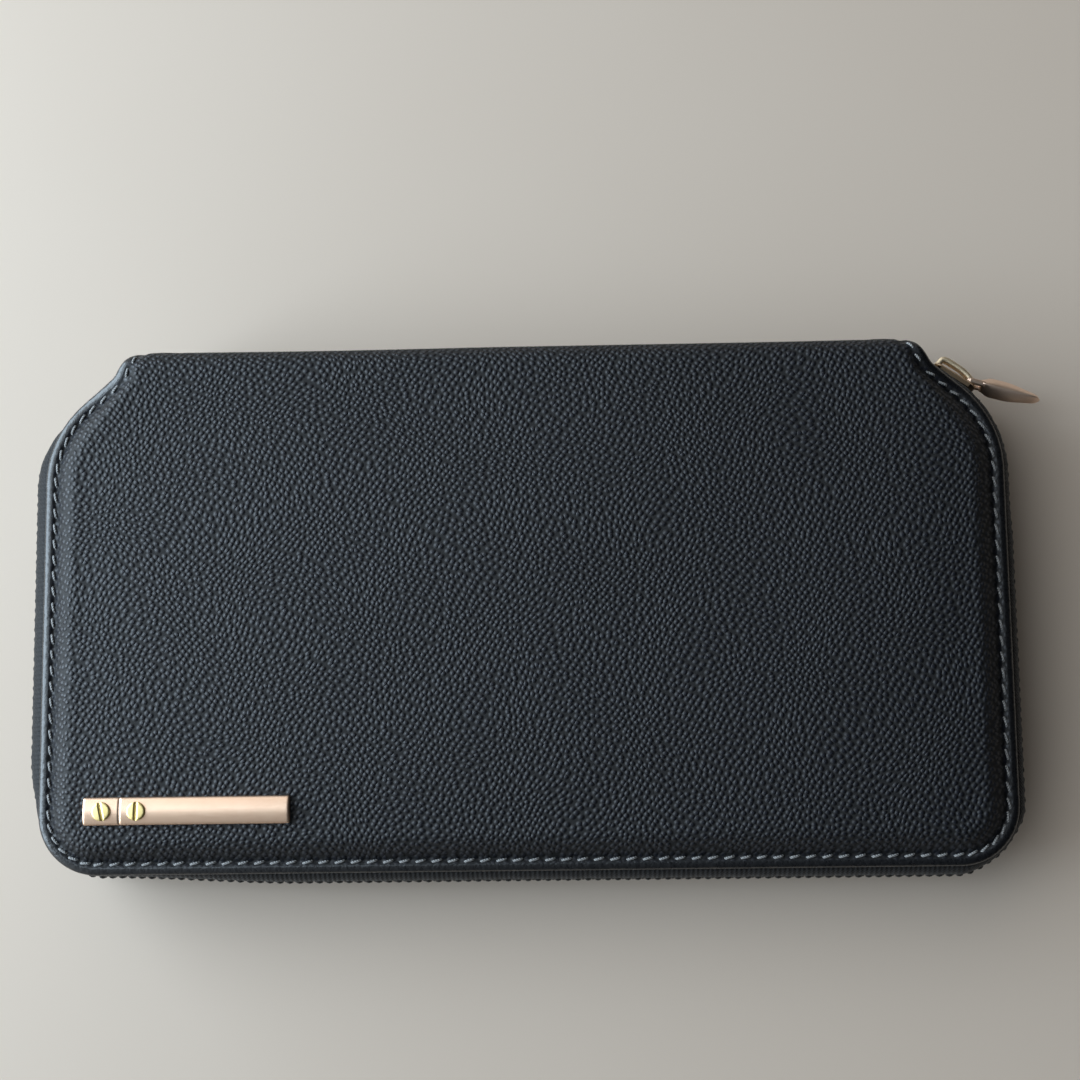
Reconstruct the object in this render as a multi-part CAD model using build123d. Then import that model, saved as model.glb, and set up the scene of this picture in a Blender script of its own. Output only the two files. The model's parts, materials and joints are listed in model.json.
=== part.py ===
from build123d import *
import math
import os

# Zip-around wallet, closed, lying on its back cover. Millimetres, +Z up.
# X runs along the long side, the spine is at +Y and the long zip edge at -Y.
# The origin is the centre of the back cover's flat outer face.
# The front half is the back half mirrored in the plane half-way up.

os.makedirs("parts", exist_ok=True)

# Overall size
WIDTH = 195.0                  # leather edge to leather edge, X
DEPTH = 106.0                  # leather edge to outside of the spine, Y
THICK = 24.0                   # outer face to outer face, Z
HALF_W = WIDTH / 2
HALF_D = DEPTH / 2
MID_Z = THICK / 2

# Cover outline: the corners at both ends of the spine are cut back in an S
SPINE_HALF = 79.0              # half length of the straight spine
NOTCH_X = 82.8                 # concave turn of the S
NOTCH_Y = HALF_D - 5.0
SHOULDER_Y = HALF_D - 16.0     # where the diagonal would meet the side
NOTCH_R = 3.6
SHOULDER_R = 22.0
CORNER_R = 12.0

# Cover section, measured on the back cover and inwards from the leather edge
SKIN = 1.2                     # outer leather
BAND_IN = 3.4                  # flat sewn band along the edge
PUFF_IN = 8.0                  # where the raised field begins
BAND_Z0 = 3.5                  # outer face of the sewn band
BAND_Z1 = 5.4                  # inner face of the sewn band
BOARD_T = 0.8
LINING_T = 0.5

# Spine: leather rolls round a radius at each long corner
FOLD_R = 4.0
FOLD_Y = HALF_D - FOLD_R       # centre line of both rolls

# Stitching
STITCH_IN = 2.2
THREAD_W = 0.6
THREAD_H = 0.25

# Main zip, centred half-way up, standing just outside the leather edge
TAPE_T = 0.6
TAPE_OUT = 1.0                 # tape centre line beyond the leather edge
TAPE_TOP = 9.3
TAPE_BEND = 7.6
TOOTH_HALF = 1.2               # half the radial depth of the teeth
TEETH_Z1 = 11.5                # the two rows stay 1.0 apart for the slider's post
ZIP_END_Y = HALF_D - 6.0       # both rows stop here, level with the slider's nose
TAPE_END_Y = HALF_D - 3.6

# Card pockets: four stepped strips on each cover
POCKET_IN = 8.8
POCKET_T = 0.5
POCKET_MOUTHS = tuple(11.5 + 10.5 * step - HALF_D for step in range(4))
POCKET_END = HALF_D - 6.5

# Coin pocket, carried by the spine
COIN_HALF = 84.0
COIN_Z0 = 9.1
COIN_WALL = 0.7
COIN_MOUTH = 9.5 - HALF_D
COIN_BACK = HALF_D - 2.3
COIN_RIM = 1.2
COIN_ZIP_HALF = 77.0
COIN_TEETH_Y0 = 5.6 - HALF_D
COIN_TEETH_Y1 = 7.4 - HALF_D

# Main slider on the shoulder arc at the right-hand end
ARC_X = HALF_W - SHOULDER_R
DIAGONAL = math.atan2(NOTCH_Y - SHOULDER_Y, HALF_W - NOTCH_X)
ARC_Y = SHOULDER_Y - SHOULDER_R * math.tan((math.pi / 2 - DIAGONAL) / 2)
PATH_R = SHOULDER_R + TAPE_OUT
SLIDER_ANGLE = 55.5            # rest place on the arc, from +X
SLIDER_HALF = 4.8
PULL_ANGLE = 19.0              # pull lifted off the zip at rest
PULL_AXIS_X = 3.0
PULL_AXIS_Y = 2.7
PULL_LENGTH = 15.2
PULL_HALF_W = 2.6

# Coin slider at the right-hand end of its zip
COIN_SLIDER_X = 70.0
COIN_PULL_LENGTH = 13.0

# Name plate, left of the front, with two slotted screws
PLATE_X = -66.7
PLATE_Y = 12.7 - HALF_D
PLATE_L = 41.0
PLATE_W = 5.5
PLATE_T = 1.2
GROOVE_X = -79.9
SCREW_XS = (-83.4, -76.5)
SCREW_R = 1.85


def save(node, shape):
    """Write one named node."""
    export_step(shape, f"parts/{node}.step")


def to_front(shape):
    """The same piece on the front cover."""
    return mirror(shape, about=Plane.XY.offset(MID_Z))


def to_left(shape):
    """The same piece at the other end of the wallet."""
    return mirror(shape, about=Plane.YZ)


def corner_points(inset, spine_inset):
    """Corners of the cover outline moved in, with the radius of each."""
    right = [
        (SPINE_HALF, HALF_D, 0.0),
        (NOTCH_X, NOTCH_Y, -NOTCH_R),
        (HALF_W, SHOULDER_Y, SHOULDER_R),
        (HALF_W, -HALF_D, CORNER_R),
    ]
    left = [(-x, y, r) for x, y, r in reversed(right)]
    base = right + left
    count = len(base)
    moved = []
    for i, (x, y, r) in enumerate(base):
        before = base[i - 1]
        after = base[(i + 1) % count]
        lines = []
        for start, end in ((before, (x, y)), ((x, y), after)):
            dx = end[0] - start[0]
            dy = end[1] - start[1]
            size = math.hypot(dx, dy)
            on_spine = abs(dy) < 1e-6 and y > 0
            shift = spine_inset if on_spine else inset
            nx, ny = dy / size, -dx / size
            lines.append((nx, ny, nx * start[0] + ny * start[1] + shift))
        (a, b, c), (d, e, f) = lines
        det = a * e - b * d
        point = ((c * e - b * f) / det, (a * f - c * d) / det)
        if r > 0:
            radius = max(r - inset, 0.8)
        elif r < 0:
            radius = -r + inset
        else:
            radius = 0.0
        moved.append((point[0], point[1], radius))
    return moved


def outline(inset=0.0, spine_inset=0.0, z=0.0):
    """Cover outline as a face at height z."""
    corners = corner_points(inset, spine_inset)
    count = len(corners)
    ends = []
    arcs = []
    for i, (x, y, r) in enumerate(corners):
        px, py, _ = corners[i - 1]
        qx, qy, _ = corners[(i + 1) % count]
        to_p = Vector(px - x, py - y).normalized()
        to_q = Vector(qx - x, qy - y).normalized()
        here = Vector(x, y)
        if r == 0:
            ends.append((here, here))
            arcs.append(None)
            continue
        half = to_p.get_angle(to_q) / 2
        reach = r / math.tan(math.radians(half))
        first = here + to_p * reach
        last = here + to_q * reach
        inward = (to_p + to_q).normalized()
        depth = r / math.sin(math.radians(half)) - r
        ends.append((first, last))
        arcs.append(here + inward * depth)
    edges = []
    for i in range(count):
        if arcs[i] is not None:
            edges.append(Edge.make_three_point_arc(ends[i][0], arcs[i], ends[i][1]))
        edges.append(Edge.make_line(ends[i][1], ends[(i + 1) % count][0]))
    return Face(Wire(edges)).moved(Location((0, 0, z)))


def slab(inset, z0, z1, spine_inset=0.0):
    """Outline raised from z0 to z1."""
    return extrude(outline(inset, spine_inset, z0), amount=z1 - z0, dir=(0, 0, 1))


def slope(inset0, z0, inset1, z1, spine_inset=0.0):
    """Solid between two outlines at two heights, with straight sides."""
    faces = [outline(inset0, spine_inset, z0), outline(inset1, spine_inset, z1)]
    return loft(faces, ruled=True)


def block(x0, x1, y0, y1, z0, z1):
    """Box from its limits."""
    centre = ((x0 + x1) / 2, (y0 + y1) / 2, (z0 + z1) / 2)
    return Pos(*centre) * Box(x1 - x0, y1 - y0, z1 - z0)


def before(y):
    """Everything on the zip side of y."""
    return block(-150, 150, -80, y, -20, 60)


# ---------------------------------------------------------------- covers

def cover_leather():
    """Outer leather of a cover: raised field, slope and flat sewn band."""
    outer = slope(PUFF_IN, 0, BAND_IN, BAND_Z0) + slab(0, BAND_Z0, BAND_Z1)
    inner = slope(9.0, SKIN, 4.2, BAND_Z1)
    return (outer - inner) & before(FOLD_Y)


def cover_board():
    """Stiffener between leather and lining."""
    board = slab(9.2, SKIN, SKIN + BOARD_T)
    return board & before(FOLD_Y - 1.0)


def cover_lining():
    """Inner lining, turned up along the zip."""
    top = SKIN + BOARD_T
    outer = slope(8.3, top, 4.7, BAND_Z1)
    inner = slope(8.7, top + LINING_T, 5.3, BAND_Z1)
    return (outer - inner) & before(FOLD_Y - 1.0)


def stitch_ring():
    """Top-stitching thread lying on the sewn band, open along the spine."""
    low = BAND_Z0 - THREAD_H
    half = THREAD_W / 2
    ring = slab(STITCH_IN - half, low, BAND_Z0) - slab(STITCH_IN + half, low, BAND_Z0)
    return ring & before(FOLD_Y - 1.5)


def card_pocket(tier):
    """One stepped strip holding two cards side by side."""
    z0 = SKIN + BOARD_T + LINING_T + tier * POCKET_T
    strip = slab(POCKET_IN, z0, z0 + POCKET_T)
    return strip & block(-120, 120, POCKET_MOUTHS[tier], POCKET_END, -1, 30)


# ---------------------------------------------------------------- main zip

def zip_tape():
    """One tape: flange sewn to the cover, then out and up to the teeth."""
    centre = -TAPE_OUT
    out = centre - TAPE_T / 2
    inn = centre + TAPE_T / 2
    flange_top = BAND_Z1 + 0.4
    flange = slab(1.0, BAND_Z1, flange_top) - slab(5.0, BAND_Z1, flange_top)
    lower = slope(1.3, flange_top, out, TAPE_BEND) - slope(2.1, flange_top, inn, TAPE_BEND)
    upper = slab(out, TAPE_BEND, TAPE_TOP) - slab(inn, TAPE_BEND, TAPE_TOP)
    return (flange + lower + upper) & before(TAPE_END_Y)


def zip_teeth():
    """One row of teeth along three sides."""
    centre = -TAPE_OUT
    outer = slab(centre - TOOTH_HALF, TAPE_TOP, TEETH_Z1)
    inner = slab(centre + TOOTH_HALF, TAPE_TOP, TEETH_Z1)
    return (outer - inner) & before(ZIP_END_Y)


def zip_stops():
    """A metal stop crimped on the tape at each end of a row."""
    centre = -TAPE_OUT
    outer = slab(centre - 1.0, TAPE_TOP + 0.1, TEETH_Z1 - 0.1)
    inner = slab(centre + 1.0, TAPE_TOP + 0.1, TEETH_Z1 - 0.1)
    ring = outer - inner
    return ring & block(-120, 120, ZIP_END_Y + 0.15, ZIP_END_Y + 1.15, -1, 30)


def slider_place():
    """Frame of the main slider: x trails, y points out of the wallet."""
    turn = math.radians(SLIDER_ANGLE)
    x = ARC_X + PATH_R * math.cos(turn)
    y = ARC_Y + PATH_R * math.sin(turn)
    return Location((x, y, MID_Z), (0, 0, SLIDER_ANGLE - 90))


def slider_body(half, out0, out1, in0, in1, lip_out, lip_in, half_z, lip_z, post):
    """Two plates with lips round the teeth, joined by a thin post."""
    outer = block(-half, half, out0, out1, -half_z, half_z)
    outer = fillet(outer.edges().filter_by(Axis.Y), 1.4)
    outer = chamfer(outer.faces().sort_by(Axis.Y)[-1].edges(), 0.35)
    inner = block(-half + 0.6, half - 0.6, in0, in1, -half_z, half_z)
    inner = fillet(inner.edges().filter_by(Axis.Y), 1.4)
    body = outer + inner
    for side in (-1, 1):
        z0, z1 = sorted((side * lip_z, side * half_z))
        body += block(-half + 1.4, half - 1.4, lip_out, out0, z0, z1)
        if lip_in is not None:
            body += block(-half + 2.0, half - 2.0, in1, lip_in, z0, z1)
    body += block(-post, post, in1, out0, -0.25, 0.25)
    return body


def bridge(half, foot_y, top_y, thick, half_z):
    """Arched bar standing on the slider, which the pull hangs from."""
    outer = block(-half, half, foot_y, top_y, -half_z, half_z)
    outer = fillet(outer.edges().filter_by(Axis.Z).group_by(Axis.Y)[-1], thick * 1.5)
    inner = block(-half + thick, half - thick, foot_y, top_y - thick, -half_z, half_z)
    inner = fillet(inner.edges().filter_by(Axis.Z).group_by(Axis.Y)[-1], thick * 0.5)
    return outer - inner


def pull(length, half_w, bar_r, window_half, window_end, thin, thick):
    """Leaf-shaped pull, thickest past the middle, with a round bar and a window at the head."""
    tip = half_w * 0.8
    side = Polyline(
        (0, half_w * 0.97),
        (window_end + 1.5, half_w),
        (length - tip, half_w * 0.82),
        (length - tip * 0.25, half_w * 0.45),
        (length, 0),
        (length - tip * 0.25, -half_w * 0.45),
        (length - tip, -half_w * 0.82),
        (window_end + 1.5, -half_w),
        (0, -half_w * 0.97),
        close=True,
    )
    above = Polyline(
        (-1, thin / 2),
        (window_end, thin / 2),
        (length * 0.55, thick / 2),
        (length - tip, thick * 0.4),
        (length, thick * 0.15),
        (length, -thick * 0.15),
        (length - tip, -thick * 0.4),
        (length * 0.55, -thick / 2),
        (window_end, -thin / 2),
        (-1, -thin / 2),
        close=True,
    )
    leaf = extrude(Plane.XZ * make_face(side), amount=thick, both=True)
    leaf &= extrude(make_face(above), amount=half_w + 1, both=True)
    leaf -= block(-2, window_end, -2, 2, -window_half, window_half)
    bar = Cylinder(bar_r, 2 * half_w * 0.97)
    return leaf + bar


# ---------------------------------------------------------------- spine and folds

def fold_strip(z_centre, sign):
    """Quarter roll of the outer leather between a cover and the spine."""
    ring = Cylinder(FOLD_R, 2 * SPINE_HALF) - Cylinder(FOLD_R - SKIN, 2 * SPINE_HALF)
    ring = Pos(0, FOLD_Y, z_centre) * Rot(0, 90, 0) * ring
    z0, z1 = sorted((z_centre, z_centre + sign * 2 * FOLD_R))
    quarter = block(-120, 120, FOLD_Y, FOLD_Y + 2 * FOLD_R, z0, z1)
    return ring & quarter


def gusset():
    """Lower right-hand side gusset: a V folded inwards, deeper towards the zip."""
    faces = []
    for y, deep in ((HALF_D - 15, 2.5), (-6.0, 9.0)):
        z_low, z_high = 4.85, 8.75
        z_mid = (z_low + z_high) / 2
        wall = 0.45
        outline_points = [
            (85.6, z_low),
            (85.6 - deep, z_mid),
            (85.6, z_high),
            (85.6, z_high - wall),
            (85.6 - deep + wall * 2.2, z_mid),
            (85.6, z_low + wall),
        ]
        points = [Vector(x, y, z) for x, z in outline_points]
        edges = [Edge.make_line(points[i], points[(i + 1) % 6]) for i in range(6)]
        faces.append(Face(Wire(edges)))
    return loft(faces, ruled=True)


# ---------------------------------------------------------------- coin pocket

def coin_area(inset, margin):
    """Coin pocket's plan from 0 to the wallet's height, margin in from its rims."""
    half = COIN_HALF - margin
    plan = block(-half, half, COIN_MOUTH, COIN_BACK - margin, 0, THICK)
    return slab(inset, 0, THICK) & plan


def coin_wall():
    """Lower wall of the coin pocket, with its sewn rims meeting half-way up."""
    area = coin_area(7.5, 0)
    hollow = coin_area(7.5 + COIN_RIM, COIN_RIM)
    sheet = area & block(-120, 120, -80, 80, COIN_Z0, COIN_Z0 + COIN_WALL)
    rim = (area - hollow) & block(-120, 120, -80, 80, COIN_Z0 + COIN_WALL, MID_Z)
    return sheet + rim


def coin_tape():
    """Lower tape of the coin zip, sewn inside the wall."""
    z0 = COIN_Z0 + COIN_WALL
    half = COIN_HALF - COIN_RIM - 0.3
    return block(-half, half, COIN_TEETH_Y1, COIN_MOUTH + 8, z0, z0 + 0.4)


def coin_teeth():
    """Lower row of the coin zip."""
    return block(-COIN_ZIP_HALF, COIN_ZIP_HALF, COIN_TEETH_Y0, COIN_TEETH_Y1, 9.9, 11.5)


def coin_stops():
    """Stops at both ends of the coin zip."""
    stops = []
    for side in (-1, 1):
        x0, x1 = sorted((side * (COIN_ZIP_HALF + 0.2), side * (COIN_ZIP_HALF + 2.0)))
        for z0, z1 in ((10.0, 11.4), (12.6, 14.0)):
            stops.append(block(x0, x1, COIN_TEETH_Y0 + 0.2, COIN_TEETH_Y1, z0, z1))
    return Compound(children=stops)


# ---------------------------------------------------------------- name plate

def plate():
    """Shallow-domed plate with a groove beside the screws."""
    half_l, half_w = PLATE_L / 2, PLATE_W / 2
    body = block(-half_l, half_l, -half_w, half_w, 0, PLATE_T)
    body = fillet(body.edges().filter_by(Axis.Z), 0.5)
    body = fillet(body.faces().sort_by(Axis.Z)[-1].edges(), 0.45)
    groove = GROOVE_X - PLATE_X
    body -= block(groove - 0.15, groove + 0.15, -half_w, half_w, PLATE_T - 0.25, PLATE_T + 1)
    body = Pos(PLATE_X, PLATE_Y, THICK) * body
    for x in SCREW_XS:
        body -= Pos(x, PLATE_Y, THICK) * Cylinder(0.85, 6)
    return body


def plate_screws():
    """Two screws with slotted heads, through plate, leather and backing."""
    top = THICK + PLATE_T
    screws = []
    for x, turn in zip(SCREW_XS, (15, 0)):
        head = Cylinder(SCREW_R, 0.45, align=(Align.CENTER, Align.CENTER, Align.MIN))
        head = chamfer(head.faces().sort_by(Axis.Z)[-1].edges(), 0.12)
        head -= Rot(0, 0, turn) * Pos(0, 0, 0.4) * Box(0.5, 2 * SCREW_R + 1, 0.5)
        shank_low = THICK - SKIN - 0.65
        shank = Pos(0, 0, (shank_low - top) / 2) * Cylinder(0.75, top - shank_low)
        screws.append(Pos(x, PLATE_Y, top) * (head + shank))
    return Compound(children=screws)


def screw_holes(radius):
    """Cutters for the two screws."""
    cutters = [Pos(x, PLATE_Y, THICK) * Cylinder(radius, 8) for x in SCREW_XS]
    return cutters[0] + cutters[1]


def plate_backing():
    """Metal strip behind the leather that takes the screws."""
    top = THICK - SKIN - 0.05
    half_l, half_w = PLATE_L / 2 - 0.6, PLATE_W / 2 - 0.4
    strip = block(PLATE_X - half_l + 2.0, PLATE_X + half_l, PLATE_Y - half_w, PLATE_Y + half_w, top - 0.6, top)
    return strip - screw_holes(0.85)


def backing_pocket():
    """Space for the backing strip in the front board."""
    half_l, half_w = PLATE_L / 2, PLATE_W / 2
    return block(PLATE_X - half_l, PLATE_X + half_l, PLATE_Y - half_w, PLATE_Y + half_w, 18, 30)


# ---------------------------------------------------------------- build

leather = cover_leather()
board = cover_board()
lining = cover_lining()
stitching = stitch_ring()
save("back_leather", leather)
save("back_board", board)
save("back_lining", lining)
save("back_stitching", stitching)
save("front_leather", to_front(leather) - screw_holes(0.85))
save("front_board", to_front(board) - backing_pocket())
save("front_lining", to_front(lining))
save("front_stitching", to_front(stitching))

for tier in range(len(POCKET_MOUTHS)):
    strip = card_pocket(tier)
    save(f"back_card_pocket_{tier + 1}", strip)
    save(f"front_card_pocket_{tier + 1}", to_front(strip))

tape = zip_tape()
teeth = zip_teeth()
stops = Compound(children=list(zip_stops().solids()))
save("zip_tape_lower", tape)
save("zip_tape_upper", to_front(tape))
save("zip_teeth_lower", teeth)
save("zip_teeth_upper", to_front(teeth))
save("zip_stops_lower", stops)
save("zip_stops_upper", to_front(stops))

place = slider_place()
slider = slider_body(SLIDER_HALF, 1.5, 2.0, -3.0, -2.0, 0.85, -1.05, 3.9, 3.0, 1.2)
save("zip_slider_body", place * slider)
save("zip_slider_bridge", place * bridge(4.6, 2.0, 4.6, 1.0, 1.0))
swing = Location((PULL_AXIS_X, PULL_AXIS_Y, 0), (0, 0, PULL_ANGLE))
save("zip_pull", place * swing * pull(PULL_LENGTH, PULL_HALF_W, 0.5, 1.45, 3.3, 1.2, 4.2))

save("leather_fold_lower", fold_strip(FOLD_R, -1))
save("leather_fold_upper", fold_strip(THICK - FOLD_R, 1))
spine_z0 = FOLD_R
spine_z1 = THICK - FOLD_R
spine_y = HALF_D - SKIN
save("spine_leather", block(-SPINE_HALF, SPINE_HALF, spine_y, HALF_D, spine_z0, spine_z1))
save("spine_board", block(-SPINE_HALF + 2, SPINE_HALF - 2, spine_y - 0.6, spine_y, 4.5, THICK - 4.5))
save("spine_lining", block(-SPINE_HALF + 1, SPINE_HALF - 1, COIN_BACK, spine_y - 0.6, 4.5, THICK - 4.5))

fan = gusset()
save("gusset_lower_right", fan)
save("gusset_lower_left", to_left(fan))
save("gusset_upper_right", to_front(fan))
save("gusset_upper_left", to_left(to_front(fan)))

wall = coin_wall()
save("coin_wall_lower", wall)
save("coin_wall_upper", to_front(wall))
save("coin_tape_lower", coin_tape())
save("coin_tape_upper", to_front(coin_tape()))
save("coin_teeth_lower", coin_teeth())
save("coin_teeth_upper", to_front(coin_teeth()))
save("coin_stops", coin_stops())

# The coin zip faces -Y, so its slider is built facing +Y and turned round
coin_place = Location((COIN_SLIDER_X, (COIN_TEETH_Y0 + COIN_TEETH_Y1) / 2, MID_Z), (0, 0, 180))
coin_slider = slider_body(3.6, 1.15, 1.95, -1.9, -1.15, -0.4, None, 3.1, 2.35, 0.9)
coin_slider -= block(-5, 5, -3, -0.95, 1.2, 5)
coin_slider -= block(-5, 5, -3, -0.95, -5, -1.2)
save("coin_slider_body", coin_place * coin_slider)
save("coin_slider_bridge", coin_place * bridge(2.7, 1.95, 4.15, 0.8, 0.8))
coin_swing = Location((1.1, 2.75, 0), (0, 0, 3.0))
save("coin_pull", coin_place * coin_swing * pull(COIN_PULL_LENGTH, 2.2, 0.4, 1.2, 2.8, 0.9, 0.9))

save("brand_plate", plate())
save("plate_screws", plate_screws())
save("plate_backing", plate_backing())
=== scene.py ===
import bmesh
import bpy
import json
import math
import numpy as np
from mathutils import Matrix, Vector, noise


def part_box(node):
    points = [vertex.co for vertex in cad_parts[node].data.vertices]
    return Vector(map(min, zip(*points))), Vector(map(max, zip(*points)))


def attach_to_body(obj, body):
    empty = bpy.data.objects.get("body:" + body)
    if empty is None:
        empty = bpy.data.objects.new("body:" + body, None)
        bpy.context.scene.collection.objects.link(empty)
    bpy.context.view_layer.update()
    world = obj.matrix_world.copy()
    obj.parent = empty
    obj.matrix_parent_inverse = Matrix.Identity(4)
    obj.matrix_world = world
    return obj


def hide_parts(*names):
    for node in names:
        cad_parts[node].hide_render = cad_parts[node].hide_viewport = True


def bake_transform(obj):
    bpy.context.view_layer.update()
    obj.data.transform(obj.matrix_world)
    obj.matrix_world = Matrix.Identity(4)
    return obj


# Zip-around wallet, closed, lying on its back cover. Lengths are millimetres until
# make_mesh() turns them into metres. X is the long side, +Y the spine, +Z the front.

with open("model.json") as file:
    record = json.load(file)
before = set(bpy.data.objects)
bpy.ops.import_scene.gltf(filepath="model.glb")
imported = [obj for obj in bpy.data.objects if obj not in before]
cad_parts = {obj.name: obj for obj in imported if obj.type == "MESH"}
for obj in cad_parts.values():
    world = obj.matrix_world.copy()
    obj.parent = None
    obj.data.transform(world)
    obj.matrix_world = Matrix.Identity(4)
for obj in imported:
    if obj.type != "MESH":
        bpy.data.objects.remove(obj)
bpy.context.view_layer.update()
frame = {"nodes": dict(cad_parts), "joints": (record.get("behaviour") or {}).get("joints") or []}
MM = 0.001


def box_mm(node):
    """Lowest and highest corner of a CAD node in millimetres."""
    low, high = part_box(node)
    return [c / MM for c in low], [c / MM for c in high]


# Sizes read from the CAD
HIDE_LOW, HIDE_HIGH = box_mm("front_leather")
SPINE_LOW, SPINE_HIGH = box_mm("spine_leather")
HALF_W = HIDE_HIGH[0]
HALF_D = SPINE_HIGH[1]
THICK = HIDE_HIGH[2]
MID_Z = THICK / 2
FOLD_Y = HIDE_HIGH[1]
FOLD_R = HALF_D - FOLD_Y
SPINE_HALF = SPINE_HIGH[0]
BAND_INNER = THICK - HIDE_LOW[2]          # depth of the band's inner face
SKIN = SPINE_HIGH[1] - SPINE_LOW[1]

# Outline of a cover: corners of the right-hand half, with their radii
NOTCH = (SPINE_HALF + 4.1, HALF_D - 5.0)
SHOULDER_Y = HALF_D - 16.0
NOTCH_R = 4.0
SHOULDER_R = 22.0
CORNER_R = 12.0
SPINE_TURN_R = 5.0

# The leather laid flat: V goes up the cover, round the roll and down the spine
ROLL_LENGTH = FOLD_R * math.pi / 2
V_ROLL = FOLD_Y + ROLL_LENGTH
V_MID = V_ROLL + MID_Z - FOLD_R
V_SPLIT = V_ROLL + 2.4                    # the cover's hide ends here and the spine's begins
V_TAPE_END = FOLD_Y + 0.2

# Sewn edge
STITCH_PITCH = 3.2
PER_STITCH = 4                            # mesh samples per stitch
STITCH_IN = 2.2
BAND_DEPTH = 3.5                          # the band lies this far below the raised field
BAND_DEPTH_SPINE = 0.35
BAND_FLAT = 2.75                          # the padded field starts to rise at this inset
RISE = 4.9
RISE_SPINE = 1.7
EDGE_ROUND = 1.5                          # the turned edge starts to round over at this inset
CROWN = 1.2                               # the field falls this far towards the sides and the zip
CROWN_WIDTH = 22.0
WAVE = 0.3                                # unevenness of the stretched field


# ------------ mesh helpers

def smoothstep(low, high, value):
    """0 below low, 1 above high, smooth between."""
    t = np.clip((np.asarray(value, float) - low) / (high - low), 0, 1)
    return t * t * (3 - 2 * t)


def signed_power(value, power):
    """A value raised to a power, keeping its sign."""
    return math.copysign(abs(value) ** power, value)


def make_mesh(name, points, faces, rest=None, inset=None, face_materials=None, materials=()):
    """Smooth object from millimetre points, with its flat-pattern coordinates stored for the textures."""
    points = np.asarray(points, float)
    mesh = bpy.data.meshes.new(name)
    mesh.from_pydata((points * MM).tolist(), [], [list(f) for f in faces])
    rest = points if rest is None else np.asarray(rest, float)
    store = mesh.attributes.new("rest", "FLOAT_VECTOR", "POINT")
    store.data.foreach_set("vector", rest.astype(np.float32).ravel())
    if inset is not None:
        store = mesh.attributes.new("inset", "FLOAT", "POINT")
        store.data.foreach_set("value", np.asarray(inset, np.float32))
    for material in materials:
        mesh.materials.append(material)
    if face_materials is not None:
        mesh.polygons.foreach_set("material_index", np.asarray(face_materials, np.int32))
    mesh.polygons.foreach_set("use_smooth", [True] * len(mesh.polygons))
    mesh.validate()
    mesh.update()
    obj = bpy.data.objects.new(name, mesh)
    bpy.context.scene.collection.objects.link(obj)
    return obj


def grid_faces(rows, cols, close_cols=False):
    """Quads of a rows x cols grid of points numbered row by row."""
    faces = []
    for i in range(rows - 1):
        for j in range(cols if close_cols else cols - 1):
            k = (j + 1) % cols
            faces.append((i * cols + j, i * cols + k, (i + 1) * cols + k, (i + 1) * cols + j))
    return faces


def tube_faces(rings, around):
    """Faces of a tube made of rings of points, with both ends closed."""
    faces = grid_faces(rings, around, close_cols=True)
    faces.append(tuple(range(around))[::-1])
    faces.append(tuple((rings - 1) * around + k for k in range(around)))
    return faces


def grid_rim(rows, cols):
    """Numbers of a grid's outer points in order round it."""
    rim = [i * cols for i in range(rows)]
    rim += [(rows - 1) * cols + j for j in range(1, cols)]
    rim += [i * cols + cols - 1 for i in range(rows - 2, -1, -1)]
    return rim + list(range(cols - 2, 0, -1))


def close_down(points, rows, cols, base):
    """Faces of a grid with walls down to a flat face at height base; adds the lower points."""
    faces = grid_faces(rows, cols)
    rim = grid_rim(rows, cols)
    count = len(points)
    points.extend((points[i][0], points[i][1], base) for i in rim)
    for k in range(len(rim)):
        n = (k + 1) % len(rim)
        faces.append((rim[k], rim[n], count + n, count + k))
    faces.append(tuple(count + k for k in range(len(rim))))
    return faces


def join_parts(parts):
    """Points, faces and rest coordinates of several small meshes as one."""
    points, faces, rest = [], [], []
    count = 0
    for part_points, part_faces, part_rest in parts:
        points.append(part_points)
        rest.append(part_rest)
        faces.extend(tuple(i + count for i in face) for face in part_faces)
        count += len(part_points)
    return np.concatenate(points), faces, np.concatenate(rest)


def to_back(points):
    """The same points on the back half."""
    moved = np.array(points, float)
    moved[:, 2] = THICK - moved[:, 2]
    return moved


def flipped(faces):
    """The same faces seen from the other side."""
    return [tuple(reversed(f)) for f in faces]


def closed_piece(name, shape, material):
    """Object from a closed mesh's points, faces and rest coordinates, with its faces turned outwards."""
    obj = make_mesh(name, *shape, materials=[material])
    bm = bmesh.new()
    bm.from_mesh(obj.data)
    bmesh.ops.recalc_face_normals(bm, faces=bm.faces)
    bm.to_mesh(obj.data)
    bm.free()
    return obj


# ------------ edge path

def rounded_line(corners, radii, step=0.05):
    """Close-set points along a line whose inner corners are rounded."""
    out = [np.array(corners[0], float)]
    for before, here, after, radius in zip(corners, corners[1:], corners[2:], radii):
        before, here, after = (np.array(p, float) for p in (before, here, after))
        a = (before - here) / np.linalg.norm(before - here)
        b = (after - here) / np.linalg.norm(after - here)
        half = math.acos(np.clip(a @ b, -1, 1)) / 2
        first = here + a * radius / math.tan(half)
        centre = here + (a + b) / np.linalg.norm(a + b) * radius / math.sin(half)
        arm = first - centre
        end = here + b * radius / math.tan(half) - centre
        sweep = math.atan2(arm[0] * end[1] - arm[1] * end[0], arm @ end)
        count = max(4, int(radius * abs(sweep) / step))
        for k in range(count + 1):
            c, s = math.cos(sweep * k / count), math.sin(sweep * k / count)
            out.append(centre + np.array((c * arm[0] - s * arm[1], s * arm[0] + c * arm[1])))
    out.append(np.array(corners[-1], float))
    return np.array(out)


def measure(line):
    """Length along a line at each of its points."""
    return np.concatenate([[0], np.cumsum(np.linalg.norm(np.diff(line, axis=0), axis=1))])


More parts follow.
